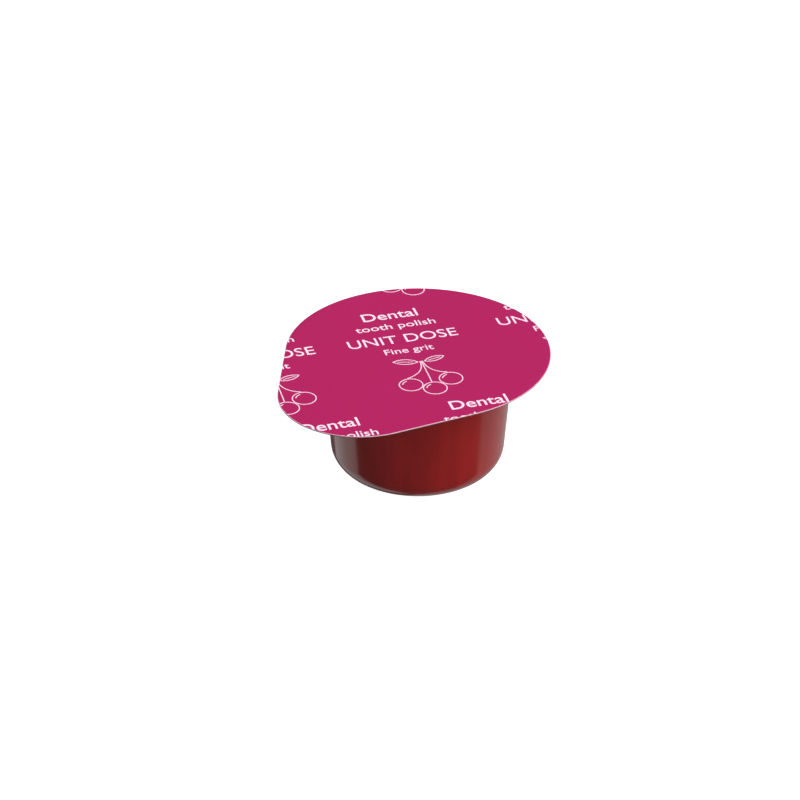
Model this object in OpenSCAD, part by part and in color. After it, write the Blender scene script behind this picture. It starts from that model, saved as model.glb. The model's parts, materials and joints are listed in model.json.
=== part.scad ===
// Unit-dose paste cup: a small tapered cup with a flat rim, a dose of paste and a peel-off lid with a pull tab.
// The cup stands on z = 0 with its axis on Z. The tab points along -Y.

/* [Cup] */
// Height from the base to the top of the rim
cup_h = 12.4; // [9:0.05:18]
// Outer diameter of the body just under the rim
body_d = 18.8; // [14:0.1:26]
// Loss of radius from the top of the body to the base
side_taper = 0.8; // [0.1:0.05:1.2]
// Straight length of the body under the rim, where a holder grips it
grip_len = 1.6; // [0.8:0.1:3]
// Radius of the outer bottom edge
bottom_fillet = 2.4; // [0.9:0.1:2.8]
// Thickness of the side wall
wall = 0.5; // [0.3:0.05:0.8]
// Thickness of the floor
floor_t = 0.5; // [0.3:0.05:0.8]
// Height of the foot ring under the base
foot_h = 0.3; // [0.1:0.05:0.5]
// Width of the foot ring where it rests
foot_w = 1.0; // [0.5:0.1:1.6]

/* [Rim] */
// How far the rim stands out from the body
rim_w = 3.1; // [2.4:0.05:5]
// Thickness of the rim
rim_t = 0.55; // [0.4:0.05:0.9]
// Radius of the rim's outer corners
rim_round = 0.18; // [0.05:0.01:0.19]
// Radius of the cup's inner mouth edge
mouth_round = 0.25; // [0.1:0.05:0.5]

/* [Paste] */
// Depth of paste at the wall
fill_depth = 5.2; // [3:0.1:6]
// Height of the paste's crown at the centre
crown_h = 0.5; // [0.1:0.1:1]
// Gap between the paste and the wall
paste_gap = 0.02; // [0.01:0.01:0.05]

/* [Lid] */
// How far the lid's disc stands out from the rim
lid_overhang = 0.7; // [0.3:0.05:2]
// How far the tip of the tab stands out from the lid's disc
tab_reach = 4.8; // [2:0.05:7]
// Radius of the tip of the tab
tab_r = 8.05; // [5:0.05:9]
// Thickness of the printed film on top
film_t = 0.05; // [0.03:0.01:0.1]
// Thickness of the foil
foil_t = 0.09; // [0.03:0.01:0.15]
// Thickness of the heat-seal band
seal_t = 0.03; // [0.02:0.01:0.06]
// Width of the heat-seal band
seal_w = 2.0; // [1:0.1:2.2]
// Distance from the heat-seal band to the edge of the rim
seal_edge = 0.3; // [0.2:0.05:0.6]

/* [Peel] */
// Distance from the lid's far edge to the last fold of the peel
anchor_w = 3.7; // [2:0.1:6]
// Distance from the tip of the tab to its crease
tab_fold = 5.3; // [4:0.05:7]

/* [Hidden] */
$fn = 96;

// Strips of the lid, counted from its far edge to the tab
ANCHOR = 0;
REAR = 1;
MIDDLE = 2;
FRONT = 3;
NECK = 4;
TAB = 5;

// Steps along a rounded corner, along the crown, and degrees a step along the lid's edge
corner_steps = 6;
crown_steps = 10;
edge_step = 3;

body_r = body_d / 2;
base_r = body_r - side_taper;
rim_r = body_r + rim_w;
rim_z = cup_h - rim_t;
grip_z = rim_z - grip_len;
draft = atan(side_taper / grip_z);
side_inset = wall / cos(draft);
inner_fillet = bottom_fillet - wall;
foot_inner_r = fillet_r(base_r, 0, bottom_fillet) - foot_w;
floor_step_in = floor_t * tan(22.5);
raised_floor_z = foot_h + floor_t;
paste_z = raised_floor_z + fill_depth;

foil_z = cup_h + seal_t;
film_z = foil_z + foil_t;
lid_top = film_z + film_t;
lid_r = rim_r + lid_overhang;
tab_tip = lid_r + tab_reach;
tab_centre = tab_tip - tab_r;
tangent = acos((lid_r - tab_r) / tab_centre);
first_fold_y = lid_r - anchor_w;
tab_fold_y = tab_fold - tab_tip;
fold_pitch = (first_fold_y - tab_fold_y) / NECK;
beyond = 1;

// Points along an arc about [cx, cy], from angle a0 to angle a1
function arc(cx, cy, r, a0, a1, steps) =
    [for (i = [0:steps]) let (a = a0 + (a1 - a0) * i / steps) [cx + r * cos(a), cy + r * sin(a)]];

// Radius of the tapered side whose radius at z = 0 is r0
function side_r(r0, z) = r0 + z * tan(draft);

// Radius of the centre of a fillet that touches a floor at z0 and a tapered side of radius r0 at z = 0
function fillet_r(r0, z0, rad) = side_r(r0, z0 + rad * (1 - sin(draft))) - rad * cos(draft);

// Bottom fillet of a tapered side, from the floor up to the side
function bottom_corner(r0, z0, rad) = arc(fillet_r(r0, z0, rad), z0 + rad, rad, -90, -draft, corner_steps);

// The inside of the cup's floor and bottom corner, from the centre outwards, held off the side by a gap
function inside_floor(gap) = concat(
    [[0, raised_floor_z], [foot_inner_r - foot_h - floor_step_in, raised_floor_z],
        [foot_inner_r - floor_step_in, floor_t]],
    bottom_corner(base_r - side_inset - gap, floor_t, inner_fillet));

// y of the fold behind a strip, and of the far edge for the first one
function fold_y(strip) = strip == ANCHOR ? lid_r + beyond : first_fold_y - (strip - 1) * fold_pitch;

// y of the fold in front of a strip, and of the tip for the tab
function next_fold_y(strip) = strip == TAB ? -tab_tip - beyond : first_fold_y - strip * fold_pitch;

function reversed(points) = [for (i = [len(points) - 1:-1:0]) points[i]];

module cup() {
    outside = concat(
        [[0, foot_h], [foot_inner_r - foot_h, foot_h], [foot_inner_r, 0]],
        bottom_corner(base_r, 0, bottom_fillet),
        [[body_r, grip_z], [body_r, rim_z]],
        arc(rim_r - rim_round, rim_z + rim_round, rim_round, -90, 0, corner_steps),
        arc(rim_r - rim_round, cup_h - rim_round, rim_round, 0, 90, corner_steps));
    mouth_r = body_r - wall;
    inside = concat(
        arc(mouth_r + mouth_round, cup_h - mouth_round, mouth_round, 90, 180, corner_steps),
        [[mouth_r, grip_z + wall * tan(draft / 2)]],
        reversed(inside_floor(0)));
    color([0.42, 0.10, 0.11])
        rotate_extrude()
            polygon(concat(outside, inside));
}

module paste() {
    top_r = side_r(base_r - side_inset - paste_gap, paste_z);
    top = [for (i = [0:crown_steps - 1]) let (s = i / crown_steps)
        [top_r * (1 - s), paste_z + crown_h * (1 - cos(180 * s)) / 2]];
    color([0.62, 0.09, 0.13])
        rotate_extrude()
            polygon(concat(inside_floor(paste_gap), top, [[0, paste_z + crown_h]]));
}

module seal_band() {
    color([0.80, 0.80, 0.78])
        translate([0, 0, cup_h])
            difference() {
                cylinder(h = seal_t, r = rim_r - seal_edge);
                translate([0, 0, -beyond])
                    cylinder(h = seal_t + 2 * beyond, r = rim_r - seal_edge - seal_w);
            }
}

// The whole lid's outline: the disc, and the tab's tip, joined by straight sides that touch both
module lid_outline() {
    disc = arc(0, 0, lid_r, tangent - 90, 270 - tangent, ceil((360 - 2 * tangent) / edge_step));
    tip = arc(0, -tab_centre, tab_r, 270 - tangent, 270 + tangent, ceil(2 * tangent / edge_step));
    polygon(concat(disc, tip));
}

// One strip of a layer of the lid, between the fold behind it and the fold in front of it
module lid_strip(strip, z, t) {
    intersection() {
        translate([0, 0, z])
            linear_extrude(height = t)
                lid_outline();
        translate([-lid_r - beyond, next_fold_y(strip), z - beyond])
            cube([2 * (lid_r + beyond), fold_y(strip) - next_fold_y(strip), t + 2 * beyond]);
    }
}

module foil_strip(strip) {
    color([0.78, 0.79, 0.80])
        lid_strip(strip, foil_z, foil_t);
}

module film_strip(strip) {
    color([0.72, 0.16, 0.40])
        lid_strip(strip, film_z, film_t);
}

module foil_anchor() { foil_strip(ANCHOR); }
module foil_rear() { foil_strip(REAR); }
module foil_middle() { foil_strip(MIDDLE); }
module foil_front() { foil_strip(FRONT); }
module foil_neck() { foil_strip(NECK); }
module foil_tab() { foil_strip(TAB); }

module film_anchor() { film_strip(ANCHOR); }
module film_rear() { film_strip(REAR); }
module film_middle() { film_strip(MIDDLE); }
module film_front() { film_strip(FRONT); }
module film_neck() { film_strip(NECK); }
module film_tab() { film_strip(TAB); }

cup();
paste();
seal_band();
foil_anchor();
foil_rear();
foil_middle();
foil_front();
foil_neck();
foil_tab();
film_anchor();
film_rear();
film_middle();
film_front();
film_neck();
film_tab();
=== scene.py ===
"""A unit-dose paste cup: glossy tapered cup, dose of paste, heat-seal ring and printed peel-off lid.

The cup stands on z = 0 with its axis on Z, and the lid's pull tab points along -Y. Lengths are in metres.
"""

import json
import math

import bmesh
import bpy
import numpy as np
from bpy.props import FloatProperty, FloatVectorProperty, IntProperty, PointerProperty, StringProperty
from bpy.types import Operator, Panel, PropertyGroup
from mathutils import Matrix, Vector


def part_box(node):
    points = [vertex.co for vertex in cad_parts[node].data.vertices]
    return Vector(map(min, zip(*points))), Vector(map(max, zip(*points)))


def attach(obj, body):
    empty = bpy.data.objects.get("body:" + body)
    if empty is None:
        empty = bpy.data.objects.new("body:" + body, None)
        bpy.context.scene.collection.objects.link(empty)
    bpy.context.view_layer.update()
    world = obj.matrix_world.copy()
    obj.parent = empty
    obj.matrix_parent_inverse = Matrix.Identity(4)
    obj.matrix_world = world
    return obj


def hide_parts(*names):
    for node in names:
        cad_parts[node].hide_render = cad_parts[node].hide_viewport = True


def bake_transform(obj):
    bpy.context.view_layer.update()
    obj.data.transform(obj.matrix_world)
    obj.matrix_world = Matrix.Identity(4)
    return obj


bl_info = {
    "name": "Unit-dose paste cup",
    "version": (1, 0, 0),
    "blender": (4, 5, 0),
    "location": "View3D > Sidebar > Paste Cup",
    "description": "Builds a unit-dose paste cup with a printed peel-off lid around its packed frame",
    "category": "Add Mesh",
}

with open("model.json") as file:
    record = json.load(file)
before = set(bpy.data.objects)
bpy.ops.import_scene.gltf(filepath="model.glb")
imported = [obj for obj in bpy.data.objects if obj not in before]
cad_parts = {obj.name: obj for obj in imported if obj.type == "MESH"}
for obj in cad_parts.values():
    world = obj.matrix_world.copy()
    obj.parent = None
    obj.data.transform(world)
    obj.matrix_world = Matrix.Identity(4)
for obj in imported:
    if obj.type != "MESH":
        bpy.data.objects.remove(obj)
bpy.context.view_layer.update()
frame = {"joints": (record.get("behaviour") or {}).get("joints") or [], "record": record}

MM = 0.001
WHITE = (1, 1, 1, 1)
BLACK = (0, 0, 0, 1)

# Points of a finished mesh, and of the flat print, that lie closer than this are one point
WELD = 1e-8
PRINT_WELD = 1e-7

# Sizes that the frame gives
mounts = {mount["name"]: mount for mount in frame["record"]["mounts"]}
BODY_R = mounts["holder_grip"]["dims"]["r_mm"] * MM
GRIP_LENGTH = mounts["holder_grip"]["dims"]["length_mm"] * MM
RIM_UNDERSIDE = mounts["holder_seat"]["pos_m"][2]
GRIP_Z = RIM_UNDERSIDE - GRIP_LENGTH
RIM_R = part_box("cup")[1].x
RIM_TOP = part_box("cup")[1].z
PASTE_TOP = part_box("paste")[1].z
SEAL_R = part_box("seal_band")[1].x
SEAL_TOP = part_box("seal_band")[1].z
FOIL_BOTTOM, FOIL_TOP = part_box("foil_anchor")[0].z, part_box("foil_anchor")[1].z
LID_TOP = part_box("film_anchor")[1].z
LID_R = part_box("film_anchor")[1].y
TAB_TIP = -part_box("film_tab")[0].y

# The lid's folds from its far edge to its tab, and the CAD strips that the lid's zones stand for
folds = sorted(
    (joint for joint in frame["joints"] if joint["type"] == "hinge"),
    key=lambda joint: -joint["pos_m"][1],
)
STRIPS = (("anchor", "rear"), ("middle",), ("front",), ("neck",), ("tab",))


class CupSettings(PropertyGroup):
    """Sizes and colour of the cup that the frame doesn't give."""

    wall: FloatProperty(
        name="Wall", description="Thickness of the side wall", default=0.5 * MM, unit="LENGTH")
    floor: FloatProperty(
        name="Floor", description="Thickness of the floor", default=0.5 * MM, unit="LENGTH")
    taper: FloatProperty(
        name="Taper", description="Loss of radius from the grip to the base",
        default=0.8 * MM, unit="LENGTH")
    fillet: FloatProperty(
        name="Bottom fillet", description="Radius of the outer bottom edge",
        default=2.4 * MM, unit="LENGTH")
    foot_height: FloatProperty(
        name="Foot height", description="Height of the foot ring", default=0.3 * MM, unit="LENGTH")
    foot_width: FloatProperty(
        name="Foot width", description="Width of the foot ring", default=1.0 * MM, unit="LENGTH")
    rim_round: FloatProperty(
        name="Rim rounding", description="Radius of the rim's outer corners",
        default=0.18 * MM, unit="LENGTH")
    mouth_round: FloatProperty(
        name="Mouth rounding", description="Radius of the mouth's edge", default=0.25 * MM, unit="LENGTH")
    root_round: FloatProperty(
        name="Rim root", description="Radius of the corner under the rim", default=0.2 * MM, unit="LENGTH")
    blend_round: FloatProperty(
        name="Grip blend", description="Radius that joins the grip to the taper",
        default=6 * MM, unit="LENGTH")
    gate_radius: FloatProperty(
        name="Gate mark", description="Radius of the moulding mark under the base",
        default=0.7 * MM, unit="LENGTH")
    gate_height: FloatProperty(
        name="Gate height", description="Height of the moulding mark", default=0.08 * MM, unit="LENGTH")
    colour: FloatVectorProperty(
        name="Plastic", description="Colour of the cup", default=(0.206, 0.0078, 0.0078), subtype="COLOR")
    segments: IntProperty(
        name="Segments", description="Steps round the cup", default=192)


class PasteSettings(PropertyGroup):
    """Shape and colour of the dose of paste."""

    gap: FloatProperty(
        name="Gap", description="Gap between the paste and the wall", default=0.02 * MM, unit="LENGTH")
    depth: FloatProperty(
        name="Depth", description="Depth of paste at the wall", default=5.2 * MM, unit="LENGTH")
    swirl: FloatProperty(
        name="Swirl", description="Height of the swirl left by the filling nozzle",
        default=0.28 * MM, unit="LENGTH")
    swirl_arms: IntProperty(
        name="Swirl arms", description="Ridges that run out from the centre", default=1)
    swirl_turns: FloatProperty(
        name="Swirl turns", description="Turns that a ridge makes from the centre to the wall", default=3.2)
    peak_radius: FloatProperty(
        name="Peak", description="Radius of the small peak in the middle", default=1.1 * MM, unit="LENGTH")
    colour: FloatVectorProperty(
        name="Paste", description="Colour of the paste", default=(0.50, 0.035, 0.085), subtype="COLOR")
    grain_colour: FloatVectorProperty(
        name="Grains", description="Colour of the pale grains", default=(0.80, 0.42, 0.48), subtype="COLOR")


class LidSettings(PropertyGroup):
    """Outline, bending and colours of the lid and of the seal under it."""

    tab_radius: FloatProperty(
        name="Tab radius", description="Radius of the tip of the tab", default=8.05 * MM, unit="LENGTH")
    fold_lead: FloatProperty(
        name="Bend lead", description="Where a bend starts, before its fold",
        default=0.45 * MM, unit="LENGTH")
    fold_run: FloatProperty(
        name="Bend run", description="Where a bend ends, past its fold", default=4.4 * MM, unit="LENGTH")
    tab_run: FloatProperty(
        name="Tab bend run", description="Where the tab's bend ends, past its crease", default=2.4 * MM,
        unit="LENGTH")
    row: FloatProperty(
        name="Row", description="Longest step between rows of the lid's mesh",
        default=0.2 * MM, unit="LENGTH")
    film_round: FloatProperty(
        name="Film edge", description="Radius of the film's cut edge", default=0.012 * MM, unit="LENGTH")
    foil_round: FloatProperty(
        name="Foil edge", description="Radius of the foil's cut edge", default=0.03 * MM, unit="LENGTH")
    # The film's pale margin is a painted highlight along its cut edge; this is its width
    highlight_margin: FloatProperty(
        name="Bare margin", description="Width of the film's edge that has no print", default=0.07 * MM,
        unit="LENGTH")
    seal_width: FloatProperty(
        name="Seal width", description="Width of the heat-seal ring", default=2.0 * MM, unit="LENGTH")
    seal_ribs: IntProperty(
        name="Seal ribs", description="Ribs that the sealing iron leaves round the ring", default=5)
    film_colour: FloatVectorProperty(
        name="Film", description="Colour of the printed film",
        default=(0.386, 0.0052, 0.094), subtype="COLOR")
    # Colour of the painted highlight along the lid's cut edge, on the film's margin and on the top of the
    # foil's edge
    edge_highlight_colour: FloatVectorProperty(
        name="Cut edge", description="Colour of the film where it is cut and bare",
        default=(0.62, 0.40, 0.46), subtype="COLOR")
    foil_colour: FloatVectorProperty(
        name="Foil", description="Colour of the foil", default=(0.74, 0.75, 0.77), subtype="COLOR")
    seal_colour: FloatVectorProperty(
        name="Seal", description="Colour of the seal lacquer", default=(0.60, 0.54, 0.53), subtype="COLOR")
    mark_colour: FloatVectorProperty(
        name="Seal mark", description="Colour of the mark that the seal leaves on the foil",
        default=(0.52, 0.47, 0.48), subtype="COLOR")


class PrintSettings(PropertyGroup):
    """Words, drawing and angle of the print on the lid."""

    title: StringProperty(name="Title", description="First line of the print", default="Dental")
    kind: StringProperty(name="Kind", description="Second line of the print", default="tooth polish")
    dose: StringProperty(name="Dose", description="Third line of the print", default="UNIT DOSE")
    grade: StringProperty(name="Grade", description="Fourth line of the print", default="Fine grit")
    turn: FloatProperty(
        name="Turn", description="Angle from +X to the print's baseline", default=math.radians(49.6),
        subtype="ANGLE")
    rise: FloatProperty(
        name="Ink rise", description="How far the ink stands above the film",
        default=0.01 * MM, unit="LENGTH")
    edge: FloatProperty(
        name="Print edge", description="Distance from the ink to the lid's edge",
        default=0.03 * MM, unit="LENGTH")
    stroke: FloatProperty(
        name="Stroke", description="Width of the drawing's lines", default=0.1 * MM, unit="LENGTH")
    cherry: FloatProperty(
        name="Cherry", description="Radius of one cherry of the drawing", default=1.2 * MM, unit="LENGTH")
    colour: FloatVectorProperty(
        name="Ink", description="Colour of the ink", default=(0.90, 0.70, 0.84), subtype="COLOR")


class StageSettings(PropertyGroup):
    """Camera and lights."""

    azimuth: FloatProperty(
        name="Azimuth", description="Camera's angle round the cup, from -Y", default=math.radians(34.02),
        subtype="ANGLE")
    elevation: FloatProperty(
        name="Elevation", description="Camera's angle above the floor", default=math.radians(30.66),
        subtype="ANGLE")
    distance: FloatProperty(
        name="Distance", description="From the camera to the point it looks at", default=267.4 * MM,
        unit="LENGTH")
    aim: FloatVectorProperty(
        name="Aim", description="Point that the camera looks at",
        default=(-1.47 * MM, -0.99 * MM, 6.92 * MM),
        subtype="TRANSLATION")
    lens: FloatProperty(name="Lens", description="Focal length in millimetres", default=120)
    key: FloatProperty(name="Key light", description="Strength of the key light", default=4.2)
    key_azimuth: FloatProperty(
        name="Key azimuth", description="Key light's angle round the cup, from -Y",
        default=math.radians(104.5), subtype="ANGLE")
    key_elevation: FloatProperty(
        name="Key elevation", description="Key light's angle above the floor", default=math.radians(30),
        subtype="ANGLE")
    key_width: FloatProperty(
        name="Key width", description="Width of the key light, as an angle", default=math.radians(70),
        subtype="ANGLE")
    sky: FloatProperty(name="Sky", description="Strength of the soft light from above", default=0.8)
    left_card: FloatProperty(
        name="Left card", description="Strength of the left reflector card", default=0.72)
    right_card: FloatProperty(
        name="Right card", description="Strength of the right reflector card", default=0.42)
    depths: FloatProperty(
        name="Depths", description="Dim light that glossy surfaces see below the horizon", default=0.10)
    floor_glow: FloatProperty(
        name="Floor glow", description="Light that keeps the floor white to the camera", default=0.95)


# Helpers for meshes


def unit(vector):
    """The vector divided by its length."""
    return vector / np.linalg.norm(vector)


def eased(count):
    """count + 1 values from 0 to 1 that crowd towards both ends, (1 - cos(pi s)) / 2."""
    return (1 - np.cos(np.linspace(0, np.pi, count + 1))) / 2


def straight(start, end, spacing, fewest=3, most=60):
    """The inner points of a straight run, crowded towards both of its ends."""
    count = int(np.clip(np.linalg.norm(end - start) / spacing, fewest, most))
    share = eased(count)[1:-1, None]
    return start + (end - start) * share


def rounded_corner(before, corner, after, radius, steps):
    """Points of the circle that touches both sides of a corner, or the corner itself where the radius is 0.

    The circle's centre lies on the corner's bisector, radius / sin(half angle) from it, and the points turn
    evenly from one side to the other.
    """
    if radius == 0:
        return corner[None]
    back, ahead = unit(before - corner), unit(after - corner)
    half = np.arccos(np.clip(back @ ahead, -1, 1)) / 2
    centre = corner + unit(back + ahead) * radius / np.sin(half)
    first = unit(corner + back * radius / np.tan(half) - centre)
    last = unit(corner + ahead * radius / np.tan(half) - centre)
    turn = np.pi - 2 * half
    s = np.linspace(0, 1, steps + 1)[:, None]
    spokes = np.sin((1 - s) * turn) * first + np.sin(s * turn) * last
    return centre + radius * spokes / np.sin(turn)


def rounded_profile(corners, steps=10, spacing=0.35 * MM):
    """A path along corners, each a point and its rounding's radius, with straight runs between them."""
    points = [np.array(point, float) for point, _ in corners]
    radii = [radius for _, radius in corners[1:-1]]
    runs = [points[0][None]]
    for before, corner, after, radius in zip(points, points[1:], points[2:], radii):
        turned = rounded_corner(before, corner, after, radius, steps)
        runs += [straight(runs[-1][-1], turned[0], spacing), turned]
    runs += [straight(runs[-1][-1], points[-1], spacing), points[-1][None]]
    return np.concatenate(runs)


def grid_faces(rows, columns, closed=True):
    """Quads of a grid of rows by columns. In a closed grid the last column joins the first."""
    index = np.arange(rows * columns).reshape(rows, columns)
    ahead = np.roll(index, -1, axis=1)
    quads = np.stack([index[:-1], ahead[:-1], ahead[1:], index[1:]], axis=-1)
    return (quads if closed else quads[:, :-1]).reshape(-1, 4)


def make_piece(name, points, faces, material, caps=(), sharp=math.radians(50), **attributes):
    """A mesh object from points and quads, with points that coincide welded and collapsed faces dropped.

    Quads that keep three corners become triangles. caps are closing faces, each an array of points' numbers,
    and an attribute is one number a point. The UV map is the piece's plan, x and y at rest.
    """
    keys = np.round(points / WELD).astype(np.int64)
    _, first, place = np.unique(keys, axis=0, return_index=True, return_inverse=True)
    place = place.reshape(-1)
    faces = place[faces]
    repeats = faces == np.roll(faces, -1, axis=1)
    quads = faces[repeats.sum(1) == 0]
    thin = repeats.sum(1) == 1
    triangles = faces[thin][~repeats[thin]].reshape(-1, 3)
    closing = [place[cap].tolist() for cap in caps]
    mesh = bpy.data.meshes.new(name)
    mesh.from_pydata(points[first].tolist(), [], quads.tolist() + triangles.tolist() + closing)
    mesh.update()
    mesh.polygons.foreach_set("use_smooth", np.ones(len(mesh.polygons), bool))
    mesh.set_sharp_from_angle(angle=sharp)
    for key, values in attributes.items():
        layer = mesh.attributes.new(key, "FLOAT", "POINT")
        layer.data.foreach_set("value", np.asarray(values)[first].astype(np.float32))
    corner = np.empty(len(mesh.loops), np.int32)
    mesh.loops.foreach_get("vertex_index", corner)
    plan = mesh.uv_layers.new(name="plan")
    plan.uv.foreach_set("vector", points[first][corner, :2].astype(np.float32).ravel())
    mesh.materials.append(material)
    piece = bpy.data.objects.new(name, mesh)
    bpy.context.scene.collection.objects.link(piece)
    return piece


def revolve(name, profile, segments, material, height=None):
    """A profile of (radius, z) turned round Z: x = r cos a, y = r sin a. height(r, a, z) may add to z.

    A profile that runs from the axis below, outwards and back to the axis above gives faces that point out.
    Points on the axis are welded into poles, and a profile that ends where it starts gives a ring.
    """
    angle = np.linspace(0, 2 * np.pi, segments, endpoint=False)
    radius = profile[:, :1] + 0 * angle
    z = profile[:, 1:] + 0 * angle
    if height is not None:
        z = z + height(radius, angle + 0 * radius, z)
    points = np.stack([radius * np.cos(angle), radius * np.sin(angle), z], axis=-1).reshape(-1, 3)
    return make_piece(name, points, grid_faces(len(profile), segments), material)


# Helpers for materials


def add_node(tree, kind, inputs=None, **settings):
    """Adds a shader node to a tree, and sets or links its inputs by name or number."""
    node = tree.nodes.new("ShaderNode" + kind)
    for key, value in settings.items():
        setattr(node, key, value)
    for key, value in (inputs or {}).items():
        if isinstance(value, bpy.types.NodeSocket):
            tree.links.new(value, node.inputs[key])
        else:
            node.inputs[key].default_value = value
    return node


class Shader:
    """A node material with one Principled shader, and short ways to add nodes to it."""

    def __init__(self, name, **constants):
        """Makes the material and sets the shader's own sockets. Underscores in a name stand for spaces."""
        self.material = bpy.data.materials.new(name)
        self.material.use_nodes = True
        self.tree = self.material.node_tree
        self.out = self.tree.nodes["Principled BSDF"]
        for key, value in constants.items():
            self.out.inputs[key.replace("_", " ")].default_value = value

    def add(self, kind, inputs=None, **settings):
        """Adds a node to the material."""
        return add_node(self.tree, kind, inputs, **settings)

    def place(self, stretch=(1, 1, 1), plan=False):
        """Object coordinates, or the piece's plan where the lid bends, times a stretch."""
        if plan:
            source = self.add("UVMap", uv_map="plan").outputs[0]
        else:
            source = self.add("TexCoord").outputs["Object"]
        return self.add("Mapping", {"Vector": source, "Scale": stretch}).outputs[0]

    def noise(self, place, size, detail=2.0, roughness=0.5):
        """Noise whose features are about size metres across."""
        inputs = {"Vector": place, "Scale": 1 / size, "Detail": detail, "Roughness": roughness}
        return self.add("TexNoise", inputs).outputs[0]

    def ramp(self, value, low, high, to_low=0.0, to_high=1.0):
        """value moved from the range low to high into to_low to to_high, and held there."""
        inputs = {"Value": value, "From Min": low, "From Max": high, "To Min": to_low, "To Max": to_high}
        return self.add("MapRange", inputs).outputs[0]

    def mix(self, share, first, second):
        """A colour between two colours."""
        factor, first_colour, second_colour, result = 0, 6, 7, 2
        inputs = {factor: share, first_colour: opaque(first), second_colour: opaque(second)}
        return self.add("Mix", inputs, data_type="RGBA").outputs[result]

    def bump(self, height, depth, normal=None):
        """A bump of depth metres, on top of an earlier one where its normal is given."""
        inputs = {"Height": height, "Distance": depth, "Strength": 1.0}
        if normal is not None:
            inputs["Normal"] = normal
        return self.add("Bump", inputs).outputs[0]

    def attribute(self, name):
        """The number that the mesh carries under a name."""
        return self.add("Attribute", attribute_name=name).outputs["Fac"]

    def distance(self, place):
        """Distance from the place's origin."""
        return self.add("VectorMath", {0: place}, operation="LENGTH").outputs["Value"]

    def math(self, operation, first, second=0.0):
        """One sum on two numbers."""
        return self.add("Math", {0: first, 1: second}, operation=operation).outputs[0]

    def feed(self, **sources):
        """Links sources to the shader's sockets."""
        for key, value in sources.items():
            self.tree.links.new(value, self.out.inputs[key.replace("_", " ")])
        return self.material


def opaque(colour):
    """A colour with full alpha, or the socket that gives one."""
    return colour if isinstance(colour, bpy.types.NodeSocket) else (*colour, 1.0)


def shade(colour, factor):
    """A colour times a factor, held to 1."""
    return tuple(min(1.0, channel * factor) for channel in colour)


# Materials


def cup_plastic(settings):
    """Glossy moulded plastic: flow streaks down the wall, a faint orange peel and scattered dark specks."""
    shader = Shader("cup_plastic", Roughness=0.16, IOR=1.5, Coat_Weight=0.25, Coat_Roughness=0.06)
    colour = settings.colour
    streaks = shader.noise(shader.place(stretch=(1, 1, 0.12)), 1.6 * MM, detail=4)
    body = shader.mix(shader.ramp(streaks, 0.35, 0.68), shade(colour, 0.90), shade(colour, 1.12))
    specks = shader.noise(shader.place(), 0.22 * MM, detail=1)
    tinted = shader.mix(shader.ramp(specks, 0.70, 0.78, 0, 0.35), body, shade(colour, 0.55))
    peel = shader.noise(shader.place(), 0.9 * MM, detail=3)
    skin = shader.bump(peel, 0.004 * MM)
    gloss = shader.ramp(shader.noise(shader.place(), 2.4 * MM), 0.3, 0.7, 0.13, 0.19)
    return shader.feed(Base_Color=tinted, Normal=skin, Roughness=gloss)


def polishing_paste(settings):
    """Thick wet gel full of fine grit: pale and dark grains, a grainy skin and patches that are drier."""
    shader = Shader("paste", Roughness=0.35, IOR=1.45, Subsurface_Weight=0.12, Subsurface_Scale=0.6 * MM)
    place = shader.place()
    colour = settings.colour
    cloudy = shader.noise(place, 1.8 * MM, detail=4)
    gel = shader.mix(shader.ramp(cloudy, 0.3, 0.7), shade(colour, 0.82), shade(colour, 1.15))
    grains = shader.add("TexVoronoi", {"Vector": place, "Scale": 1 / (0.16 * MM)})
    near_grain = shader.ramp(grains.outputs["Distance"], 0.30, 0.12, 0, 0.55)
    pale = shader.mix(near_grain, gel, settings.grain_colour)
    dark = shader.noise(place, 0.12 * MM, detail=1)
    tinted = shader.mix(shader.ramp(dark, 0.68, 0.76, 0, 0.5), pale, shade(colour, 0.4))
    grit = shader.bump(grains.outputs["Distance"], 0.03 * MM)
    skin = shader.bump(shader.noise(place, 0.5 * MM, detail=5, roughness=0.6), 0.05 * MM, grit)
    wet = shader.ramp(cloudy, 0.35, 0.65, 0.24, 0.5)
    return shader.feed(Base_Color=tinted, Normal=skin, Roughness=wet)


def seal_lacquer(settings):
    """Frosted lacquer torn by the peel: palest on the ribs, with patches where the cup's colour shows."""
    shader = Shader("seal_lacquer", Roughness=0.5, IOR=1.5)
    place = shader.place()
    radius = shader.distance(shader.place(plan=True))
    turns = 2 * math.pi * settings.seal_ribs / settings.seal_width
    crest = shader.math("COSINE", shader.math("MULTIPLY", shader.math("SUBTRACT", radius, SEAL_R), turns))
    torn = shader.noise(place, 0.35 * MM, detail=5, roughness=0.7)
    frost = shader.math("ADD", torn, shader.math("MULTIPLY", crest, 0.07))
    cup_colour = bpy.context.scene.paste_cup.colour
    through = shader.mix(0.55, settings.seal_colour, cup_colour)
    tinted = shader.mix(shader.ramp(frost, 0.40, 0.66), through, settings.seal_colour)
    fibres = shader.bump(torn, 0.01 * MM)
    return shader.feed(Base_Color=tinted, Normal=fibres, Roughness=shader.ramp(torn, 0.4, 0.6, 0.35, 0.6))


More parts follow.
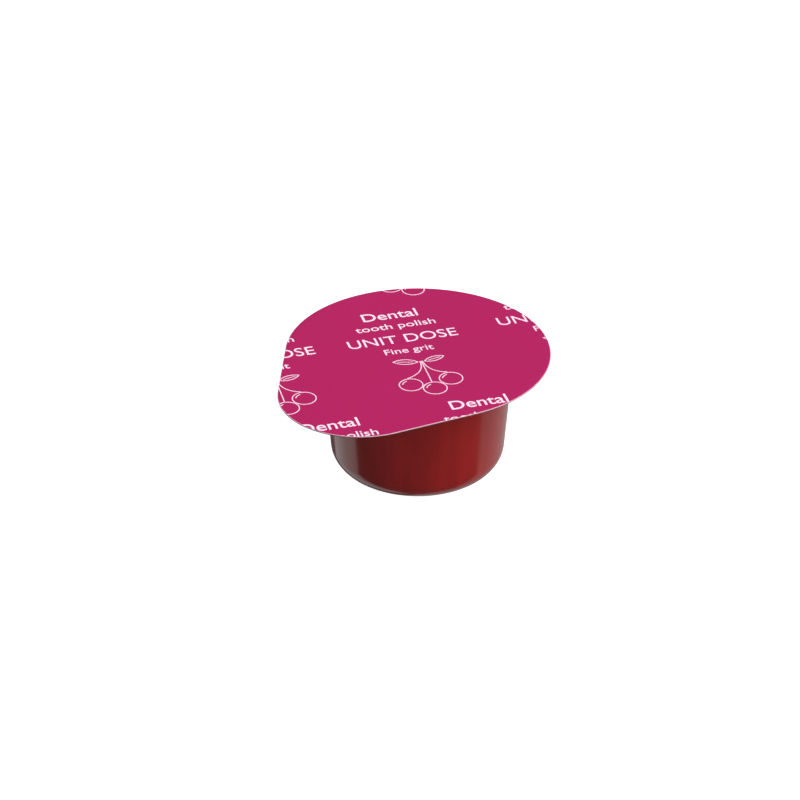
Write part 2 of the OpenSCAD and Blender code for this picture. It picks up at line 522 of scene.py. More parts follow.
def printed_film(settings):
    """Satin film printed in one colour, with a fine mottle, and a pale painted highlight along its cut edge.
    """
    shader = Shader("lid_print", Roughness=0.46, IOR=1.46, Specular_IOR_Level=0.2)
    place = shader.place(plan=True)
    colour = settings.film_colour
    broad = shader.noise(place, 14 * MM, detail=1)
    print_tone = shader.mix(shader.ramp(broad, 0.3, 0.7), shade(colour, 0.97), shade(colour, 1.03))
    mottle = shader.noise(place, 0.30 * MM, detail=3)
    fine = shader.mix(shader.ramp(mottle, 0.3, 0.7, 0, 0.5), print_tone, shade(colour, 0.965))
    # Painted highlight: the print gives way to a pale band along the film's cut edge
    margin = settings.highlight_margin
    edge_highlight = shader.ramp(shader.attribute("depth"), margin, margin * 0.8)
    tinted = shader.mix(edge_highlight, fine, settings.edge_highlight_colour)
    laminate = shader.bump(shader.noise(place, 0.8 * MM, detail=2), 0.0015 * MM)
    satin = shader.ramp(mottle, 0.3, 0.7, 0.43, 0.50)
    return shader.feed(Base_Color=tinted, Normal=laminate, Roughness=satin)


def print_ink(settings):
    """Opaque pale ink with pinholes and a faint screen mottle that lets the film's colour through."""
    shader = Shader("lid_ink", Roughness=0.5, IOR=1.46, Specular_IOR_Level=0.2)
    place = shader.place(plan=True)
    mottle = shader.noise(place, 0.12 * MM, detail=2)
    body = shader.mix(shader.ramp(mottle, 0.35, 0.7), settings.colour, shade(settings.colour, 0.93))
    film_colour = bpy.context.scene.paste_lid.film_colour
    pinholes = shader.noise(place, 0.05 * MM, detail=1)
    tinted = shader.mix(shader.ramp(pinholes, 0.74, 0.80, 0, 0.5), body, film_colour)
    return shader.feed(Base_Color=tinted, Normal=shader.bump(mottle, 0.001 * MM))


def lid_foil(settings):
    """Lacquered aluminium: rolling lines, dull clouds and the seal ring's mark, with a painted highlight over
    painted shade on its cut edge.
    """
    shader = Shader("lid_foil", Metallic=0.6, Roughness=0.42, IOR=1.5)
    place = shader.place(plan=True)
    lines = shader.noise(shader.place(stretch=(1, 0.02, 1), plan=True), 0.10 * MM, detail=3)
    cloud = shader.noise(place, 2.5 * MM, detail=3)
    colour = settings.foil_colour
    rolled = shader.mix(shader.ramp(lines, 0.3, 0.7), shade(colour, 0.88), shade(colour, 1.06))
    lacquer = shader.mix(shader.ramp(cloud, 0.35, 0.65, 0, 0.4), rolled, shade(colour, 0.85))
    radius = shader.distance(place)
    middle = SEAL_R - settings.seal_width / 2
    off_middle = shader.math("ABSOLUTE", shader.math("SUBTRACT", radius, middle))
    half = settings.seal_width / 2
    ring = shader.ramp(off_middle, half, half - 0.15 * MM)
    torn = shader.ramp(shader.noise(place, 0.4 * MM, detail=4, roughness=0.7), 0.40, 0.60, 0.35, 0.9)
    marked = shader.mix(shader.math("MULTIPLY", ring, torn), lacquer, settings.mark_colour)
    # The cut edge's colour is painted light: a painted highlight on its upper part and painted shade on its
    # lower part
    upper = shader.ramp(shader.attribute("rise"), 0.55, 0.70)
    cut_edge_highlight_and_shade = shader.mix(upper, shade(colour, 0.06), shade(settings.edge_highlight_colour, 0.9))
    cut = shader.ramp(shader.attribute("depth"), settings.foil_round, settings.foil_round * 0.8)
    tinted = shader.mix(cut, marked, cut_edge_highlight_and_shade)
    ribs = shader.math("SINE", shader.math("MULTIPLY", off_middle, math.pi * settings.seal_ribs / half))
    emboss = shader.bump(shader.math("MULTIPLY", ring, ribs), 0.012 * MM)
    rolling = shader.bump(lines, 0.003 * MM, emboss)
    dull = shader.math("MAXIMUM", shader.ramp(ring, 0, 1, 0.40, 0.58), shader.ramp(cut, 0, 1, 0, 0.95))
    return shader.feed(Base_Color=tinted, Normal=rolling, Roughness=dull)


# The lid's outline


class Outline:
    """The lid's outline: a disc and a smaller circle for the tab's tip, and the two lines that touch both.

    A station is an angle and a share t of the way from the disc's centre to the tab's. Its point, held inside
    the edge by an inset, is centre(t) + (radius(t) - inset) (cos angle, sin angle), where the centre and the
    radius are straight lines in t. Stations run down one side, from the far edge to the tip.
    """

    def __init__(self, tab_radius):
        """Works out where the sides leave the disc and reach the tab's circle."""
        self.tab_radius = tab_radius
        self.tab_centre = TAB_TIP - tab_radius
        self.side = math.acos((LID_R - tab_radius) / self.tab_centre) - math.pi / 2
        self.leave_y = LID_R * math.sin(self.side)
        self.reach_y = tab_radius * math.sin(self.side) - self.tab_centre

    def stations(self, y):
        """Angle and t where the outline crosses each y."""
        t = np.clip((self.leave_y - y) / (self.leave_y - self.reach_y), 0, 1)
        on_disc = np.arcsin(np.clip(y / LID_R, -1, 1))
        on_tab = np.arcsin(np.clip((y + self.tab_centre) / self.tab_radius, -1, 1))
        angle = np.select([y > self.leave_y, y >= self.reach_y], [on_disc, self.side], on_tab)
        return angle, t

    def points(self, y, inset):
        """x and y of the outline's right side at stations, held inside the edge by an inset."""
        angle, t = self.stations(y)
        radius = LID_R + (self.tab_radius - LID_R) * t - inset
        return radius * np.cos(angle), radius * np.sin(angle) - self.tab_centre * t

    def depth(self, x, y):
        """How far points lie inside the edge: radius(t) less the distance from centre(t), at their t."""
        out = np.abs(x) / math.cos(self.side)
        t = np.clip((out * math.sin(self.side) - y) / self.tab_centre, 0, 1)
        return LID_R + (self.tab_radius - LID_R) * t - np.hypot(x, y + self.tab_centre * t)

    def rows(self, high, low, step):
        """y of the rows between two cuts: even steps on the sides, and even turns on the two circles."""
        quarter = math.pi / 2
        turns = np.arange(0, math.pi, math.radians(1.0))
        disc = LID_R * np.sin(quarter - turns[turns < quarter - self.side])
        sides = np.arange(self.leave_y, self.reach_y, -step)
        tab = self.tab_radius * np.sin(turns[turns < quarter + self.side] - quarter) - self.tab_centre
        y = np.sort(np.concatenate([disc, sides, tab]))[::-1]
        inside = y[(y < high - step / 4) & (y > low + step / 4)]
        return np.concatenate([[high], inside, [low]])


def fold_y(number):
    """y of a fold."""
    return folds[number]["pos_m"][1]


def zone_cuts(number, settings):
    """y where a zone starts and ends: midway between the end of one bend and the start of the next."""
    cuts = [
        (fold_y(k) - settings.fold_run + fold_y(k + 1) + settings.fold_lead) / 2
        for k in range(len(folds) - 1)
    ]
    ends = [LID_R, *cuts, -TAB_TIP]
    return ends[number], ends[number + 1]


def bend(piece):
    """Bakes the piece's placement into its mesh and leaves it at rest."""
    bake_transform(piece)


def sheet_section(bottom, top, rounding, columns=40, turns=4):
    """Section of a thin sheet with rounded edges: share of the width, inset and z along a closed loop.

    It runs over the top from right to left, down the left edge, back along the bottom and up the right edge.
    A corner is a quarter circle: the inset is r (1 - sin a), and z is r (1 - cos a) from the face.
    """
    across = np.linspace(1, -1, columns)
    quarter = np.linspace(0, np.pi / 2, turns + 1)
    inward = rounding * (1 - np.sin(quarter))
    from_face = rounding * (1 - np.cos(quarter))
    upper = np.stack([inward, top - from_face], axis=1)
    lower = np.stack([inward, bottom + from_face], axis=1)[::-1]
    left = np.concatenate([upper, lower])[1:-1]
    right = left[::-1]
    share = np.concatenate([across, -np.ones(len(left)), across[::-1], np.ones(len(right))])
    flat = np.full(columns, rounding)
    inset = np.concatenate([flat, left[:, 0], flat, right[:, 0]])
    z = np.concatenate([np.full(columns, top), left[:, 1], np.full(columns, bottom), right[:, 1]])
    return share, inset, z


def sheet_zone(name, number, bottom, top, rounding, material):
    """One zone of a layer of the lid: the sheet's section carried along the outline, and capped."""
    settings = bpy.context.scene.paste_lid
    outline = Outline(settings.tab_radius)
    high, low = zone_cuts(number, settings)
    y = outline.rows(high, low, settings.row)[:, None]
    share, inset, z = sheet_section(bottom, top, rounding)
    x_side, y_side = outline.points(y + 0 * inset, inset[None])
    points = np.stack([x_side * share, y_side, z + 0 * x_side], axis=-1)
    rows, columns = points.shape[:2]
    loop = np.arange(columns)
    caps = []
    if number > 0:
        caps.append(loop[::-1])
    if number < len(folds) - 1:
        caps.append(loop + (rows - 1) * columns)
    rise = (z - bottom) / (top - bottom)
    return make_piece(
        name, points.reshape(-1, 3), grid_faces(rows, columns), material, caps=caps,
        depth=outline.depth(points[..., 0], points[..., 1]).ravel(), rise=np.tile(rise, rows))


def make_layer(layer, bottom, top, rounding, material):
    """A layer of the lid, as one piece for each fold, each in place of the strips that it stands for."""
    for number, strips in enumerate(STRIPS):
        piece = sheet_zone(f"lid_{layer}_{number + 1}", number, bottom, top, rounding, material)
        bend(piece)
        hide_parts(*(f"{layer}_{strip}" for strip in strips))


# The print

# Height of a capital of Blender's own font, where its size is 1
FONT_CAPITAL = 0.698

# Middle of the words, and knot of the drawing's stems, in a block of the print
WORDS_MIDDLE = -0.78 * MM
KNOT = (-0.25 * MM, -2.0 * MM)

# Middles of the cherries from the knot, the distance between two stems there, and the length that pulls a
# stem upright
CHERRIES = ((-2.2 * MM, -4.2 * MM), (-0.1 * MM, -5.4 * MM), (1.9 * MM, -4.0 * MM))
STEM_STEP = 0.13 * MM
STEM_PULL = 2.2 * MM

# Where a leaf starts, out and up from the knot, then the side, the lean and the length of each leaf
LEAF_ROOT = (0.28 * MM, -0.1 * MM)
LEAVES = ((1, math.radians(14), 2.3 * MM), (-1, math.radians(166), 2.6 * MM))

# Where the blocks of the print lie, along its baseline and up from it, in millimetres
BLOCKS = ((0, 0), (-14.7, 0.1), (15.8, 0.7), (3.7, -18.9), (-11.2, -19.3), (3.4, 19.9))


def lettering(words, capital, width, baseline, weight):
    """Flat letters as points and triangles, with capitals of a height, spread to a width, of a weight."""
    curve = bpy.data.curves.new("lettering", "FONT")
    curve.body = words
    curve.size = 1
    curve.offset = weight
    curve.resolution_u = 5
    curve.fill_mode = "FRONT"
    holder = bpy.data.objects.new("lettering", curve)
    bpy.context.scene.collection.objects.link(holder)
    bpy.context.view_layer.update()
    mesh = bpy.data.meshes.new_from_object(holder.evaluated_get(bpy.context.evaluated_depsgraph_get()))
    mesh.calc_loop_triangles()
    points = np.empty(len(mesh.vertices) * 3, np.float32)
    mesh.vertices.foreach_get("co", points)
    points = points.reshape(-1, 3)[:, :2].astype(float)
    faces = np.empty(len(mesh.loop_triangles) * 3, np.int32)
    mesh.loop_triangles.foreach_get("vertices", faces)
    bpy.data.objects.remove(holder)
    bpy.data.curves.remove(curve)
    bpy.data.meshes.remove(mesh)
    low, high = points.min(0), points.max(0)
    stretch = [width / (high[0] - low[0]), capital / FONT_CAPITAL]
    place = (points - [(low[0] + high[0]) / 2, 0]) * stretch
    return place + [WORDS_MIDDLE, baseline], faces.reshape(-1, 3)


def strip(first, second, closed=False):
    """Triangles between two paths with as many points each. A closed strip also joins its two ends."""
    count = len(first)
    here = np.arange(count if closed else count - 1)
    ahead = (here + 1) % count
    faces = np.concatenate([
        np.stack([here, ahead, ahead + count], axis=1),
        np.stack([here, ahead + count, here + count], axis=1),
    ])
    return np.concatenate([first, second]), faces


def line(path, stroke):
    """A stroke along an open path, half its width to either side."""
    along = np.gradient(path, axis=0)
    along /= np.linalg.norm(along, axis=1)[:, None]
    across = np.stack([-along[:, 1], along[:, 0]], axis=1) * stroke / 2
    return strip(path - across, path + across)


def arc(centre, radius, first, last, steps=40):
    """Points of an arc, centre + radius (cos angle, sin angle), without the last angle."""
    angle = np.linspace(first, last, steps, endpoint=False)
    return centre + radius * np.stack([np.cos(angle), np.sin(angle)], axis=1)


def heading(angle):
    """The direction at an angle, and the direction square to it on its left."""
    return np.array([[math.cos(angle), math.sin(angle)], [-math.sin(angle), math.cos(angle)]])


def leaf(root, angle, length, stroke, steps=24):
    """A leaf with its vein. Its outline lies between a lens and the lens a stroke inside it.

    A lens of length L and width W has arcs of radius (L^2 + W^2) / (4 W), and their centres lie that radius
    less W / 2 off the leaf's middle line.
    """
    width = length * 0.4
    curve = (length**2 + width**2) / (4 * width)
    off = curve - width / 2
    turn = np.linspace(0, 2 * np.pi, steps, endpoint=False)
    side = np.sign(np.sin(turn).round(9))
    directions = heading(angle)
    loops = []
    for radius in (curve, curve - stroke):
        x = math.sqrt(radius**2 - off**2) * np.cos(turn)
        y = (np.sqrt(radius**2 - x**2) - off) * side
        loops.append(root + np.stack([x + length / 2, y], axis=1) @ directions)
    vein_start, vein_end = 0.22, 0.8
    vein = root + directions[0] * length * np.linspace(vein_start, vein_end, 5)[:, None]
    return [strip(*loops, closed=True), line(vein, stroke * 0.8)]


def cherry(settings, middle, stem_end):
    """A cherry, the glint on it and its stem.

    The stem is the curve (1 - s)^2 start + 2 s (1 - s) pull + s^2 end, which leaves the cherry's top and ends
    upright.
    """
    radius, stroke = settings.cherry, settings.stroke
    full = 2 * np.pi
    ring = strip(arc(middle, radius, 0, full), arc(middle, radius - stroke, 0, full), closed=True)
    glint_radius, gap = radius * 0.68, stroke * 0.6
    glint = line(arc(middle, glint_radius, math.radians(105), math.radians(170), steps=10), stroke)
    start = middle + [0, radius + gap]
    pull = stem_end - [0, STEM_PULL]
    s = np.linspace(0, 1, 16)[:, None]
    stem = line((1 - s) ** 2 * start + 2 * s * (1 - s) * pull + s**2 * stem_end, stroke)
    return [ring, glint, stem]


def cherries(settings):
    """Three cherries on stems that meet at a knot between two leaves."""
    knot = np.array(KNOT)
    shapes = []
    for number, place in enumerate(CHERRIES):
        shapes += cherry(settings, knot + place, knot + [STEM_STEP * (number - 1), 0])
    out, up = LEAF_ROOT
    for side, lean, length in LEAVES:
        shapes += leaf(knot + [out * side, up], lean, length, settings.stroke)
    return shapes


def print_block(settings):
    """One block of the print about its own middle: four lines of words over a drawing of cherries.

    A line of words has the height of its capitals, its width, its baseline's height and its weight.
    """
    words = [
        lettering(settings.title, 1.56 * MM, 5.75 * MM, 7.12 * MM, 0.007),
        lettering(settings.kind, 1.08 * MM, 8.30 * MM, 5.08 * MM, 0.006),
        lettering(settings.dose, 1.58 * MM, 11.25 * MM, 2.10 * MM, 0.0),
        lettering(settings.grade, 1.04 * MM, 5.00 * MM, 0.04 * MM, 0.004),
    ]
    return words + cherries(settings)


def cut(flat, place, normal, drop=True):
    """Cuts a flat mesh along a line, and may drop what lies past it."""
    bmesh.ops.bisect_plane(
        flat, geom=flat.verts[:] + flat.edges[:] + flat.faces[:], dist=WELD, plane_co=place,
        plane_no=normal, clear_outer=drop)


def clip_to_outline(flat, outline, inset):
    """Keeps what lies inside the lid's edge: a cut along each of the lines that touch the outline."""
    for angle in np.radians(np.arange(0, 360, 2.0)):
        on_tab = math.asin(math.sin(angle)) < outline.side
        centre = -outline.tab_centre if on_tab else 0.0
        radius = (outline.tab_radius if on_tab else LID_R) - inset
        normal = Vector((math.cos(angle), math.sin(angle), 0))
        place = Vector((0, centre, 0)) + normal * radius
        if any((vertex.co - place).dot(normal) > 0 for vertex in flat.verts):
            cut(flat, place, normal)


def flat_print(settings, outline):
    """The whole print as one flat mesh in the lid's plane, turned and cut at the lid's edge."""
    shapes = print_block(settings)
    starts = np.cumsum([0] + [len(points) for points, _ in shapes])
    block = np.concatenate([points for points, _ in shapes])
    faces = np.concatenate([triangles + start for (_, triangles), start in zip(shapes, starts)]).tolist()
    sheet = bmesh.new()
    for shift in BLOCKS:
        flat = bmesh.new()
        mesh = bpy.data.meshes.new("print_block")
        place = (block + np.array(shift) * MM) @ heading(settings.turn)
        mesh.from_pydata(np.column_stack([place, np.zeros(len(place))]).tolist(), [], faces)
        flat.from_mesh(mesh)
        bmesh.ops.remove_doubles(flat, verts=flat.verts[:], dist=PRINT_WELD)
        clip_to_outline(flat, outline, settings.edge)
        flat.to_mesh(mesh)
        sheet.from_mesh(mesh)
        flat.free()
        bpy.data.meshes.remove(mesh)
    return sheet


def slice_rows(flat, high, low, step):
    """Cuts a flat mesh into rows along Y."""
    for y in np.arange(high - step, low, -step):
        cut(flat, Vector((0, y, 0)), Vector((0, 1, 0)), drop=False)


def flat_arrays(flat):
    """Points and triangles of a flat mesh."""
    bmesh.ops.triangulate(flat, faces=flat.faces[:])
    mesh = bpy.data.meshes.new("flat")
    flat.to_mesh(mesh)
    points = np.empty(len(mesh.vertices) * 3, np.float32)
    mesh.vertices.foreach_get("co", points)
    faces = np.empty(len(mesh.polygons) * 3, np.int32)
    mesh.loops.foreach_get("vertex_index", faces)
    bpy.data.meshes.remove(mesh)
    return points.reshape(-1, 3)[:, :2].astype(float), faces.reshape(-1, 3)


def ink_solid(name, points, faces, bottom, top, material):
    """Flat triangles given a thickness: a top, a bottom turned over, and a wall at each outer edge."""
    count = len(points)
    upper = np.column_stack([points, np.full(count, top)])
    lower = np.column_stack([points, np.full(count, bottom)])
    edges = np.concatenate([faces[:, [0, 1]], faces[:, [1, 2]], faces[:, [2, 0]]])
    _, place, uses = np.unique(np.sort(edges, axis=1), axis=0, return_inverse=True, return_counts=True)
    rim = edges[uses[place.reshape(-1)] == 1]
    walls = np.stack([rim[:, 0], rim[:, 0] + count, rim[:, 1] + count, rim[:, 1]], axis=1)
    tops = np.column_stack([faces, faces[:, 2]])
    bottoms = np.column_stack([faces[:, ::-1], faces[:, 0]]) + count
    everything = np.concatenate([tops, bottoms, walls])
    return make_piece(name, np.concatenate([upper, lower]), everything, material, sharp=math.radians(30))


# The cup's foot


def cup_foot(settings):
    """Radius of the base, draft of the wall, inner radius of the foot ring and inset of the floor's step.

    The foot ring's outer radius is where the bottom fillet meets the ground, base_r - f cos(draft) +
    f (1 - sin(draft)) tan(draft). The inset keeps the floor's thickness past the ring's 45 degree step.
    """
    base_r = BODY_R - settings.taper
    draft = math.atan(settings.taper / GRIP_Z)
    fillet = settings.fillet
    foot_outer = base_r - fillet * math.cos(draft) + fillet * (1 - math.sin(draft)) * math.tan(draft)
    return base_r, draft, foot_outer - settings.foot_width, settings.floor * math.tan(math.pi / 8)


# The stage

# Sphere of the reflector cards, and the azimuths from the camera and the elevations between which they lie
CARD_RADIUS = 0.35
LEFT_CARD = (-142, -89)
RIGHT_CARD = (88.5, 184)
CARD_ELEVATIONS = (-84, -3)


def look_from(azimuth, elevation):
    """The direction from the cup towards an azimuth, counted from -Y towards +X, and an elevation."""
    flat = math.cos(elevation)
    return Vector((math.sin(azimuth) * flat, -math.cos(azimuth) * flat, math.sin(elevation)))


def stage_floor(settings):
    """A wide white disc of floor just under the cup, left out of glossy reflections."""
    near, middle, far = 60 * MM, 70 * MM, 3000 * MM
    segments = 96
    radius = np.concatenate([np.linspace(0, near, 31), np.geomspace(middle, far, 30)])[:, None]
    angle = np.linspace(0, 2 * np.pi, segments, endpoint=False)
    dip = 0.002 * MM
    points = np.stack([radius * np.cos(angle), radius * np.sin(angle), 0 * radius * angle - dip], axis=-1)
    shader = Shader("stage_floor", Roughness=0.9, Specular_IOR_Level=0.0)
    shader.out.inputs["Emission Color"].default_value = WHITE
    grain = shader.noise(shader.place(), 3 * MM, detail=3)
    glow = shader.math("MULTIPLY", shader.add("LightPath").outputs["Is Camera Ray"], settings.floor_glow)
    paper = shader.mix(shader.ramp(grain, 0.3, 0.7), (0.49, 0.49, 0.49), (0.51, 0.51, 0.51))
    material = shader.feed(Base_Color=paper, Emission_Strength=glow)
    faces = grid_faces(len(radius), segments)[:, ::-1]
    floor = make_piece("stage_floor", points.reshape(-1, 3), faces, material)
    floor.visible_glossy = False


def stage_card(name, settings, ends, strength):
    """A card that only reflections see: a patch of a sphere between two azimuths from the camera."""
    rows, columns = 33, 25
    azimuth = settings.azimuth + np.radians(np.linspace(*ends, columns))
    elevation = np.radians(np.linspace(*CARD_ELEVATIONS, rows))[:, None]
    points = CARD_RADIUS * np.stack([
        np.sin(azimuth) * np.cos(elevation),
        -np.cos(azimuth) * np.cos(elevation),
        np.sin(elevation) + 0 * azimuth,
    ], axis=-1)
    shader = Shader(
        name, Base_Color=BLACK, Emission_Color=WHITE, Emission_Strength=strength, Specular_IOR_Level=0.0)
    shader.material.cycles.emission_sampling = "NONE"
    faces = grid_faces(rows, columns, closed=False)[:, ::-1]
    card = make_piece(name, points.reshape(-1, 3), faces, shader.material)
    for ray in ("camera", "diffuse", "transmission", "volume_scatter", "shadow"):
        setattr(card, "visible_" + ray, False)


def stage_world(settings):
    """A soft sky, brightest overhead and dark below the horizon, that the camera itself sees as white."""
    world = bpy.data.worlds.new("studio")
    world.use_nodes = True
    tree = world.node_tree
    split = add_node(tree, "SeparateXYZ", {0: add_node(tree, "TexCoord").outputs["Generated"]})
    heights = {"Value": split.outputs["Z"], "To Min": settings.depths, "To Max": settings.sky}
    strength = add_node(tree, "MapRange", heights, interpolation_type="SMOOTHSTEP")
    sky = tree.nodes["Background"]
    sky.inputs["Color"].default_value = WHITE
    tree.links.new(strength.outputs[0], sky.inputs["Strength"])
    white = add_node(tree, "Background", {"Color": WHITE})
    from_camera = add_node(tree, "LightPath").outputs["Is Camera Ray"]
    either = add_node(tree, "MixShader", {0: from_camera, 1: sky.outputs[0], 2: white.outputs[0]})
    tree.links.new(either.outputs[0], tree.nodes["World Output"].inputs["Surface"])
    bpy.context.scene.world = world


def stage_key(settings):
    """The key light, a wide soft sun."""
    light = bpy.data.lights.new("key", "SUN")
    light.energy = settings.key
    light.angle = settings.key_width
    key = bpy.data.objects.new("key", light)
    key.rotation_mode = "QUATERNION"
    key.rotation_quaternion = look_from(settings.key_azimuth, settings.key_elevation).to_track_quat("Z", "Y")
    bpy.context.scene.collection.objects.link(key)


def stage_camera(settings):
    """The camera, at its distance from the point that it looks at."""
    lens = bpy.data.cameras.new("camera")
    lens.lens = settings.lens
    lens.clip_start = 0.01
    lens.clip_end = 20
    camera = bpy.data.objects.new("camera", lens)
    back = look_from(settings.azimuth, settings.elevation)
    camera.location = Vector(settings.aim) + back * settings.distance
    camera.rotation_mode = "QUATERNION"
    camera.rotation_quaternion = back.to_track_quat("Z", "Y")
    bpy.context.scene.collection.objects.link(camera)
    bpy.context.scene.camera = camera


# Operators


class PASTECUP_OT_cup(Operator):
    """Turns the cup's section round its axis: foot ring, tapered wall, grip, flat rim and mouth"""

    bl_idname = "paste_cup.cup"
    bl_label = "Cup"

    def execute(self, context):
        """Builds the cup and puts it in place of its CAD node."""
        settings = context.scene.paste_cup
        base_r, draft, foot_r, step_in = cup_foot(settings)
        inset = settings.wall / math.cos(draft)
        mouth_r = BODY_R - settings.wall
        raised = settings.foot_height + settings.floor
        gate_z = settings.foot_height - settings.gate_height
        soft = 0.12 * MM
        corners = [
            ((0, gate_z), 0),
            ((settings.gate_radius, gate_z), settings.gate_height / 2),
            ((settings.gate_radius + settings.gate_height, settings.foot_height), settings.gate_height / 2),
            ((foot_r - settings.foot_height, settings.foot_height), soft),
            ((foot_r, 0), soft),
            ((base_r, 0), settings.fillet),
            ((BODY_R, GRIP_Z), settings.blend_round),
            ((BODY_R, RIM_UNDERSIDE), settings.root_round),
            ((RIM_R, RIM_UNDERSIDE), settings.rim_round),
            ((RIM_R, RIM_TOP), settings.rim_round),
            ((mouth_r, RIM_TOP), settings.mouth_round),
            ((mouth_r, GRIP_Z), settings.blend_round),
            ((base_r - inset, settings.floor), settings.fillet - settings.wall),
            ((foot_r - step_in, settings.floor), soft),
            ((foot_r - settings.foot_height - step_in, raised), soft),
            ((0, raised), 0),
        ]
        cup = revolve("cup_shell", rounded_profile(corners), settings.segments, cup_plastic(settings))
        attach(cup, "cup")
        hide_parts("cup")
        return {"FINISHED"}


class PASTECUP_OT_paste(Operator):
    """Turns the dose of paste round the cup's axis, with the swirl and the small peak its nozzle leaves"""

    bl_idname = "paste_cup.paste"
    bl_label = "Paste"

    def execute(self, context):
        """Builds the paste and puts it in place of its CAD node."""
        cup, settings = context.scene.paste_cup, context.scene.paste_fill
        base_r, draft, foot_r, step_in = cup_foot(cup)
        inset = cup.wall / math.cos(draft) + settings.gap
        raised = cup.foot_height + cup.floor
        wall_z = raised + settings.depth
        wall_r = base_r - inset + wall_z * math.tan(draft)
        climb, soft = 0.35 * MM, 0.1 * MM
        corners = [
            ((0, raised), 0),
            ((foot_r - cup.foot_height - step_in, raised), soft),
            ((foot_r - step_in, cup.floor), soft),
            ((base_r - inset, cup.floor), cup.fillet - cup.wall),
            ((wall_r, wall_z + climb), 0),
            ((wall_r - climb, wall_z), climb),
            ((0, wall_z), 0),
        ]
        profile = rounded_profile(corners, spacing=0.15 * MM)
        dome = PASTE_TOP - wall_z
        swell_share = 0.30
        top_r = wall_r - climb

        def top(radius, angle, z):
            """Swell, swirl and peak of the top: the swirl is a sine of the angle plus the radius's turns."""
            on_top = (z > wall_z - climb / 2) & (radius < top_r)
            share = np.clip(radius / top_r, 0, 1)
            swell = dome * swell_share * (1 + np.cos(np.pi * share)) / 2
            phase = settings.swirl_arms * (angle + 2 * np.pi * settings.swirl_turns * share)
            fade = np.sin(np.pi * share) ** 0.8
            ridges = settings.swirl * fade * (0.5 + 0.5 * np.sin(phase)) ** 1.5
            peak = dome * (1 - swell_share) * np.exp(-((radius / settings.peak_radius) ** 2))
            return np.where(on_top, swell + ridges + peak, 0)

        paste = revolve("paste_fill", profile, cup.segments, polishing_paste(settings), height=top)
        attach(paste, "cup")
        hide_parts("paste")
        return {"FINISHED"}


class PASTECUP_OT_seal(Operator):
    """Turns the heat-seal ring, whose top is ribbed by the sealing iron"""

    bl_idname = "paste_cup.seal"
    bl_label = "Seal ring"

    def execute(self, context):
        """Builds the ring and puts it in place of its CAD node."""
        settings = context.scene.paste_lid
        thick = SEAL_TOP - RIM_TOP
        steps_per_rib, bottom_steps = 16, 8
        across = np.linspace(0, 1, settings.seal_ribs * steps_per_rib + 1)
        ribs = 0.5 + 0.5 * np.cos(2 * np.pi * settings.seal_ribs * across)
        rib_share, edge_share = 0.45, 1 / 60
        ends = np.minimum(1, np.minimum(across, 1 - across) / edge_share)
        z = RIM_TOP + thick * np.sqrt(ends) * (1 - rib_share + rib_share * ribs)
        top = np.stack([SEAL_R - settings.seal_width * across, z], axis=1)
        back = np.linspace(SEAL_R - settings.seal_width, SEAL_R, bottom_steps + 1)[1:]
        bottom = np.stack([back, np.full(bottom_steps, RIM_TOP)], axis=1)
        segments = context.scene.paste_cup.segments
        ring = revolve("seal_ring", np.concatenate([top, bottom]), segments, seal_lacquer(settings))
        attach(ring, "cup")
        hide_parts("seal_band")
        return {"FINISHED"}


class PASTECUP_OT_foil(Operator):
    """Carries the foil's section along the lid's outline, in five zones, one for each fold"""

    bl_idname = "paste_cup.foil"
    bl_label = "Lid foil"

    def execute(self, context):
        """Builds the foil's zones in place of its CAD strips."""
        settings = context.scene.paste_lid
        make_layer("foil", FOIL_BOTTOM, FOIL_TOP, settings.foil_round, lid_foil(settings))
        return {"FINISHED"}


class PASTECUP_OT_film(Operator):
    """Carries the printed film's section along the lid's outline, in five zones, one for each fold"""

    bl_idname = "paste_cup.film"
    bl_label = "Lid film"

    def execute(self, context):
        """Builds the film's zones in place of its CAD strips, an ink's thickness lower."""
        settings = context.scene.paste_lid
        top = LID_TOP - context.scene.paste_print.rise
        make_layer("film", FOIL_TOP, top, settings.film_round, printed_film(settings))
        return {"FINISHED"}


class PASTECUP_OT_print(Operator):
    """Prints the words and the cherries on the lid, block by block, cut at the lid's edge"""

    bl_idname = "paste_cup.print"
    bl_label = "Lid print"

    def execute(self, context):
        """Builds the ink's zones, cut at the same lines as the film's zones."""
        settings, lid = context.scene.paste_print, context.scene.paste_lid
        sheet = flat_print(settings, Outline(lid.tab_radius))
        material = print_ink(settings)
        sunk = settings.rise * 0.4
        bottom = LID_TOP - settings.rise - sunk
        for number in range(len(folds)):
            high, low = zone_cuts(number, lid)
            flat = sheet.copy()
            cut(flat, Vector((0, high, 0)), Vector((0, 1, 0)))
            cut(flat, Vector((0, low, 0)), Vector((0, -1, 0)))
            finer = number == 0
            slice_rows(flat, high, low, lid.row if finer else lid.row * 2)
            points, faces = flat_arrays(flat)
            flat.free()
            piece = ink_solid(f"lid_ink_{number + 1}", points, faces, bottom, LID_TOP, material)
            bend(piece)
        sheet.free()
        return {"FINISHED"}


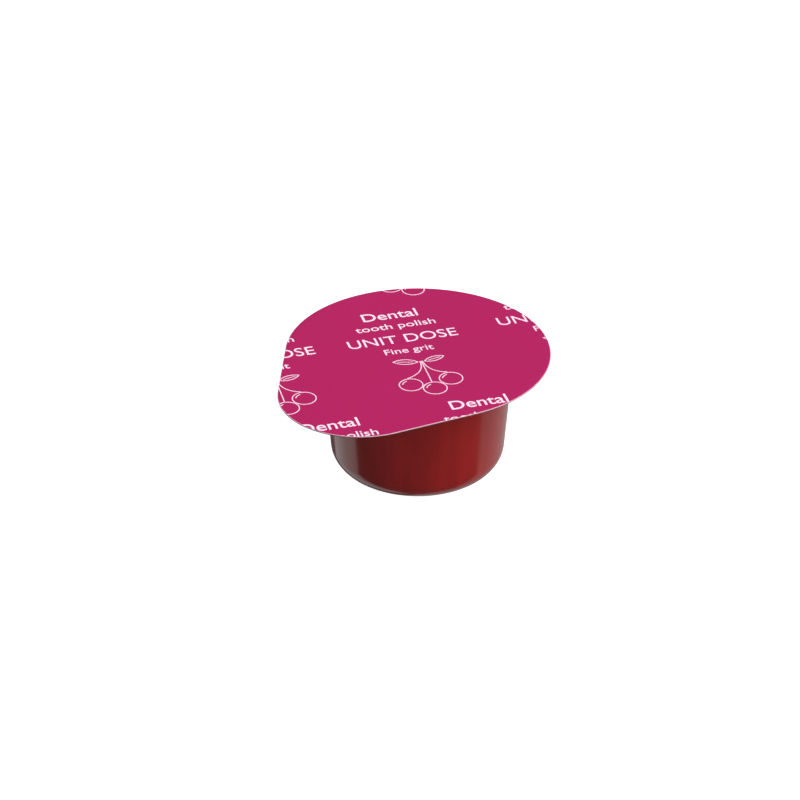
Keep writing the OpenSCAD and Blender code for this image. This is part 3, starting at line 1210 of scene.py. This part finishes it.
class PASTECUP_OT_stage(Operator):
    """Sets the white floor, the soft lights, the two reflector cards and the camera"""

    bl_idname = "paste_cup.stage"
    bl_label = "Stage"

    def execute(self, context):
        """Builds the stage."""
        settings = context.scene.paste_stage
        stage_floor(settings)
        stage_card("stage_card_left", settings, LEFT_CARD, settings.left_card)
        stage_card("stage_card_right", settings, RIGHT_CARD, settings.right_card)
        stage_world(settings)
        stage_key(settings)
        stage_camera(settings)
        context.scene.view_settings.view_transform = "Standard"
        return {"FINISHED"}


# The panel and the registration


OPERATORS = (
    PASTECUP_OT_cup, PASTECUP_OT_paste, PASTECUP_OT_seal, PASTECUP_OT_foil, PASTECUP_OT_film,
    PASTECUP_OT_print, PASTECUP_OT_stage,
)
GROUPS = {
    "paste_cup": CupSettings,
    "paste_fill": PasteSettings,
    "paste_lid": LidSettings,
    "paste_print": PrintSettings,
    "paste_stage": StageSettings,
}


class PASTECUP_PT_panel(Panel):
    """Lists the cup's settings and the operators that build it"""

    bl_label = "Paste Cup"
    bl_idname = "PASTECUP_PT_panel"
    bl_space_type = "VIEW_3D"
    bl_region_type = "UI"
    bl_category = "Paste Cup"

    def draw(self, context):
        """Draws a box of settings for each group, then a button for each operator."""
        for name in GROUPS:
            group = getattr(context.scene, name)
            box = self.layout.box()
            for key in group.__annotations__:
                box.prop(group, key)
        for operator in OPERATORS:
            self.layout.operator(operator.bl_idname)


def register():
    """Registers the classes and hangs each group of settings on the scene."""
    for group in GROUPS.values():
        bpy.utils.register_class(group)
    for name, group in GROUPS.items():
        setattr(bpy.types.Scene, name, PointerProperty(type=group))
    for operator in OPERATORS:
        bpy.utils.register_class(operator)
    bpy.utils.register_class(PASTECUP_PT_panel)


def unregister():
    """Takes away what register added."""
    bpy.utils.unregister_class(PASTECUP_PT_panel)
    for operator in reversed(OPERATORS):
        bpy.utils.unregister_class(operator)
    for name in GROUPS:
        delattr(bpy.types.Scene, name)
    for group in reversed(list(GROUPS.values())):
        bpy.utils.unregister_class(group)


def main():
    """Builds the whole model."""
    register()
    bpy.ops.paste_cup.cup()
    bpy.ops.paste_cup.paste()
    bpy.ops.paste_cup.seal()
    bpy.ops.paste_cup.foil()
    bpy.ops.paste_cup.film()
    bpy.ops.paste_cup.print()
    bpy.ops.paste_cup.stage()


if __name__ == "__main__":
    main()
